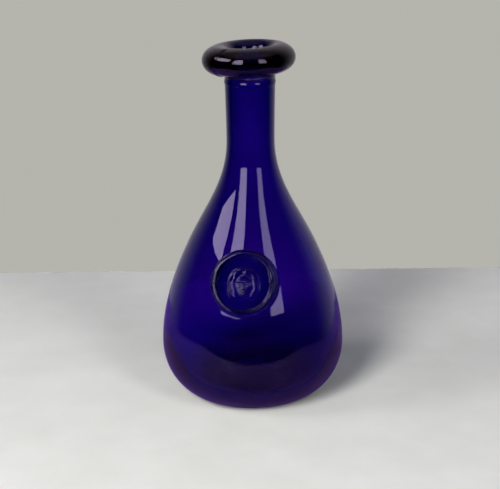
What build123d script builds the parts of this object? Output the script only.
from build123d import *
import os
from math import cos, radians, sin

# A hand-blown glass bottle: a pear-shaped body on a pushed-up base, a thick lip ring wound round the
# end of its neck, and a round pad of glass pressed on to its shoulder as a seal.
# Frame: origin at the centre of the face it rests on, +Z up the bottle's axis, seal towards -Y.
# All sizes are in millimetres.

# Outside of the body
foot_radius = 34.0
foot_inner_radius = 27.0
heel_reach = 6.0  # how far the heel runs out flat before it turns up
belly_radius = 59.4
belly_height = 35.5
shoulder_radius = 42.5
shoulder_height = 100.0
shoulder_slope = radians(66)  # how steep the wall stands at the shoulder
neck_radius = 15.4
neck_foot_height = 170.0
collar_radius = 16.0  # the neck's outside where the lip ring grips it
collar_height = 213.0
outer_pulls = (25.5, 29.5, 6.5, 27.0, 28.0)  # handle lengths of the outside's curves, foot to neck

# Inside of the body
belly_wall = 3.45  # at the cavity's widest; the glass gets thicker below it
cavity_belly_height = 42.0
shoulder_wall = 3.1
bore_radius = 12.0
bore_foot_height = 168.0
cavity_floor_radius = 31.0
cavity_floor_height = 5.5
cavity_reach = 2.0
punt_rise = 12.0  # how far the base is pushed up at its centre, outside
punt_thickness = 4.5
punt_shoulder = 9.0  # the foot's run into the punt
inner_pulls = (29.5, 24.8, 5.7, 22.2, 26.6)

# Lip ring, in its own slightly tilted frame, with heights from its widest circle
lip_centre = (-0.5, 0, 222.0)
lip_tilt = -2.0  # degrees: the -X side hangs lower
lip_radius = 29.5
lip_crown_radius = 18.5
lip_half_height = 8.9
mouth_depth = 7.5  # from the crown down to the straight bore
mouth_inset = 0.2  # the rounding runs this far past the bore's wall
lip_fillet = 2.6  # the glass that runs down on to the neck under the ring
fillet_gap = 0.26  # how thick that glass still is at its foot

# Seal, in its own frame: centred on the wall and square to it
seal_height = 88.7
seal_wall_radius = 47.5
seal_lean = radians(21.5)  # how far its face looks upward
seal_radius = 21.7
seal_skirt = 0.5  # how much wider the pad is at its root
seal_root_depth = 7.0
seal_rim_radius = 18.4
seal_rim_height = 2.7
seal_field_radius = 16.4
seal_field_height = 1.3

# Head in relief on the seal: half width, half height, relief above the field, drop below the centre
hair = (8.6, 10.2, 1.2, 0.0)
face = (5.6, 7.8, 2.0, 0.6)
nose = (1.1, 2.3, 3.0, 0.6)
relief_taper = 25  # degrees that the sides of the relief lean in

finish_height = lip_centre[2] + 2 * lip_half_height
punt_top = punt_rise + punt_thickness
lip_plane = Plane(lip_centre).rotated((0, lip_tilt, 0))
lip_section = Plane(lip_plane.origin, x_dir=lip_plane.x_dir, z_dir=-lip_plane.y_dir)
lip_axis = Axis(lip_plane.origin, lip_plane.z_dir)
seal_plane = Plane(
    (0, -seal_wall_radius, seal_height), x_dir=(1, 0, 0), z_dir=(0, -cos(seal_lean), sin(seal_lean))
)
seal_section = Plane(seal_plane.origin, x_dir=(1, 0, 0), z_dir=-seal_plane.y_dir)
seal_axis = Axis(seal_plane.origin, seal_plane.z_dir)


def below(point, slope, distance):
    """The point a distance down the wall from another, on a wall that leans in as it rises."""
    return (point[0] + distance * cos(slope), point[1] - distance * sin(slope))


def wall_line(foot, reach, belly, shoulder, neck, pulls):
    """One side of the body in three smooth curves: foot to belly, belly to shoulder, shoulder to neck."""
    Bezier(foot, (foot[0] + reach, foot[1]), (belly[0], belly[1] - pulls[0]), belly)
    Bezier(belly, (belly[0], belly[1] + pulls[1]), below(shoulder, shoulder_slope, pulls[2]), shoulder)
    Bezier(shoulder, below(shoulder, shoulder_slope, -pulls[3]), (neck[0], neck[1] - pulls[4]), neck)


def outside_line():
    """The body's outside from the foot up to the end of the neck."""
    wall_line(
        (foot_radius, 0),
        heel_reach,
        (belly_radius, belly_height),
        (shoulder_radius, shoulder_height),
        (neck_radius, neck_foot_height),
        outer_pulls,
    )
    neck_pull = (collar_height - neck_foot_height) / 3
    Bezier(
        (neck_radius, neck_foot_height),
        (neck_radius, neck_foot_height + neck_pull),
        (collar_radius, collar_height - neck_pull),
        (collar_radius, collar_height),
    )
    Line((collar_radius, collar_height), (collar_radius, finish_height))


def mouth_line():
    """The rounding from the crown of the lip down into the bore."""
    EllipticalCenterArc(
        (lip_crown_radius, lip_half_height - mouth_depth),
        lip_crown_radius - bore_radius + mouth_inset,
        mouth_depth,
        start_angle=90,
        arc_size=90,
    )


# --- bottle_body: blown shell with a pushed-up base and an open neck ---

with BuildPart() as bottle_body:
    with BuildSketch(Plane.XZ):
        with BuildLine():
            outside_line()
            Line((collar_radius, finish_height), (bore_radius, finish_height))
            Line((bore_radius, finish_height), (bore_radius, bore_foot_height))
            wall_line(
                (cavity_floor_radius, cavity_floor_height),
                cavity_reach,
                (belly_radius - belly_wall, cavity_belly_height),
                (shoulder_radius - shoulder_wall / sin(shoulder_slope), shoulder_height),
                (bore_radius, bore_foot_height),
                inner_pulls,
            )
            Bezier(
                (cavity_floor_radius, cavity_floor_height),
                (cavity_floor_radius - punt_shoulder, cavity_floor_height),
                (foot_inner_radius / 2, punt_top),
                (0, punt_top),
            )
            Line((0, punt_top), (0, punt_rise))
            Bezier(
                (0, punt_rise),
                (foot_inner_radius / 2, punt_rise),
                (foot_inner_radius - punt_shoulder, 0),
                (foot_inner_radius, 0),
            )
            Line((foot_inner_radius, 0), (foot_radius, 0))
        make_face()
    revolve(axis=Axis.Z)
    with BuildSketch(lip_section):
        with BuildLine():
            mouth_line()
            Polyline(
                (bore_radius - mouth_inset, lip_half_height - mouth_depth),
                (0, lip_half_height - mouth_depth),
                (0, 3 * lip_half_height),
                (lip_crown_radius, 3 * lip_half_height),
                (lip_crown_radius, lip_half_height),
            )
        make_face()
    revolve(axis=lip_axis, mode=Mode.SUBTRACT)
bottle_body.part.label = "bottle_body"

# --- lip_ring: a rope of glass wound round the end of the neck and tooled round ---

with BuildPart() as lip_ring:
    with BuildSketch(lip_section):
        with BuildLine():
            under = -lip_half_height
            fillet_foot = (collar_radius + fillet_gap, under - lip_fillet)
            EllipticalCenterArc(
                (lip_crown_radius, 0),
                lip_radius - lip_crown_radius,
                lip_half_height,
                start_angle=-90,
                arc_size=180,
            )
            mouth_line()
            Polyline(
                (bore_radius - mouth_inset, lip_half_height - mouth_depth),
                (bore_radius - mouth_inset, fillet_foot[1]),
                fillet_foot,
            )
            Bezier(fillet_foot, (fillet_foot[0], under), (fillet_foot[0], under), (lip_crown_radius, under))
        make_face()
    revolve(axis=lip_axis)
    Cylinder(collar_radius, 2 * finish_height, mode=Mode.SUBTRACT)
lip_ring.part.label = "lip_ring"

# --- seal: a pad of glass pressed on to the shoulder, with a raised rim round a head in relief ---

with BuildPart() as shoulder_form:
    with BuildSketch(Plane.XZ):
        with BuildLine():
            outside_line()
            Polyline((collar_radius, finish_height), (0, finish_height), (0, 0), (foot_radius, 0))
        make_face()
    revolve(axis=Axis.Z)

with BuildPart() as seal:
    with BuildSketch(seal_section):
        with BuildLine():
            rim_top = (seal_rim_radius, seal_rim_height)
            Polyline(
                (seal_radius + seal_skirt, -seal_root_depth),
                (0, -seal_root_depth),
                (0, seal_field_height),
                (seal_field_radius, seal_field_height),
            )
            Spline((seal_field_radius, seal_field_height), rim_top, tangents=((1, 0), (1, 0)))
            Bezier(
                rim_top,
                (seal_radius, seal_rim_height),
                (seal_radius, seal_field_height),
                (seal_radius + seal_skirt, -seal_root_depth),
            )
        make_face()
    revolve(axis=seal_axis)
    for half_width, half_height, relief, drop in (hair, face, nose):
        with BuildSketch(seal_plane.offset(seal_field_height)):
            with Locations((0, -drop)):
                Ellipse(half_width, half_height)
        extrude(amount=relief, taper=relief_taper if relief < nose[2] else relief_taper / 2)
    add(shoulder_form.part, mode=Mode.SUBTRACT)
seal.part.label = "seal"

os.makedirs("parts", exist_ok=True)
for piece in (bottle_body, lip_ring, seal):
    export_step(piece.part, f"parts/{piece.part.label}.step")
